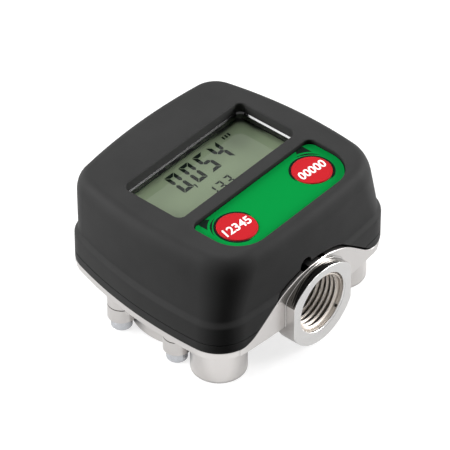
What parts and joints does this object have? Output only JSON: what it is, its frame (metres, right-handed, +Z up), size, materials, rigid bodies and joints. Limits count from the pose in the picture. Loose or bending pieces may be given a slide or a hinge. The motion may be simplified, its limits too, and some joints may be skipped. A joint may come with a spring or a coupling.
{
  "type": "digital oil flow meter",
  "caption": "In-line digital oil flow meter: cast body with two threaded ports and a gear chamber, display and buttons in a rubber boot.",
  "frame": {"origin": "on the ground under the middle of the meter, which lies on its back with the display up", "axes": "+X along the display's reading direction, +Y towards the display's upper edge (the inlet), +Z up out of the display"},
  "size_m": [0.0864, 0.085, 0.0502],
  "materials": {
    "cast_aluminium": "cast and satin, with machined port faces",
    "cover_aluminium": "cast and satin",
    "seal_rubber": "smooth",
    "zinc_steel": "zinc plated, slightly blue",
    "axle_steel": "ground",
    "gear_plastic": "moulded, filled",
    "bush_bronze": "sintered",
    "magnet_nickel": "nickel plated",
    "strainer_steel": "etched sheet",
    "spring_steel": "oiled",
    "case_plastic": "moulded, fine texture",
    "gasket_rubber": "smooth",
    "insert_brass": "knurled",
    "pane_clear": "clear and polished",
    "display_grey": "grey-green display",
    "contact_rubber": "striped rubber",
    "board_green": "solder mask",
    "chip_black": "moulded",
    "cell_steel": "bright steel can",
    "tray_plastic": "moulded",
    "clip_brass": "tinned",
    "switch_plastic": "moulded, brown plunger",
    "label_green": "printed film",
    "button_red": "moulded and smooth",
    "boot_rubber": "matte moulded rubber"
  },
  "bodies": {
    "meter": {"meter_body": "cast_aluminium", "chamber_cover": "cover_aluminium", "chamber_seal": "seal_rubber", "chamber_screws": "zinc_steel", "gear_axles": "axle_steel", "inlet_strainer": "strainer_steel", "strainer_clip": "spring_steel", "long_case_screws": "zinc_steel", "short_case_screws": "zinc_steel", "case_base": "case_plastic", "case_gasket": "gasket_rubber", "case_cover": "case_plastic", "case_inserts": "insert_brass", "display_pane": "pane_clear", "display_glass": "display_grey", "display_contacts": "contact_rubber", "circuit_board": "board_green", "board_screws": "zinc_steel", "control_chip": "chip_black", "sensor_board": "board_green", "hall_sensors": "chip_black", "battery_cells": "cell_steel", "battery_tray": "tray_plastic", "battery_clips": "clip_brass", "key_switches": "switch_plastic", "keypad_label": "label_green", "rubber_boot": "boot_rubber"},
    "left_gear": {"left_gear": "gear_plastic", "left_gear_bush": "bush_bronze"},
    "right_gear": {"right_gear": "gear_plastic", "right_gear_bush": "bush_bronze", "gear_magnets": "magnet_nickel"},
    "total_button": {"total_button": "button_red"},
    "reset_button": {"reset_button": "button_red"}
  },
  "joints": [
    {"name": "left_gear_spin", "type": "hinge", "parent": "meter", "child": "left_gear", "pos_m": [-0.0125, 0, 0.0154], "axis": [0, 0, 1], "continuous": true},
    {"name": "right_gear_spin", "type": "hinge", "parent": "meter", "child": "right_gear", "pos_m": [0.0125, 0, 0.0154], "axis": [0, 0, 1], "continuous": true},
    {"name": "total_button_press", "type": "slide", "parent": "meter", "child": "total_button", "axis": [0, 0, 1], "range_m": [-0.0006, 0], "stiffness_N_per_m": 1000},
    {"name": "reset_button_press", "type": "slide", "parent": "meter", "child": "reset_button", "axis": [0, 0, 1], "range_m": [-0.0006, 0], "stiffness_N_per_m": 1000}
  ],
  "couplings": [
    {"joint": "left_gear_spin", "follows": "right_gear_spin", "ratio": -1}
  ]
}
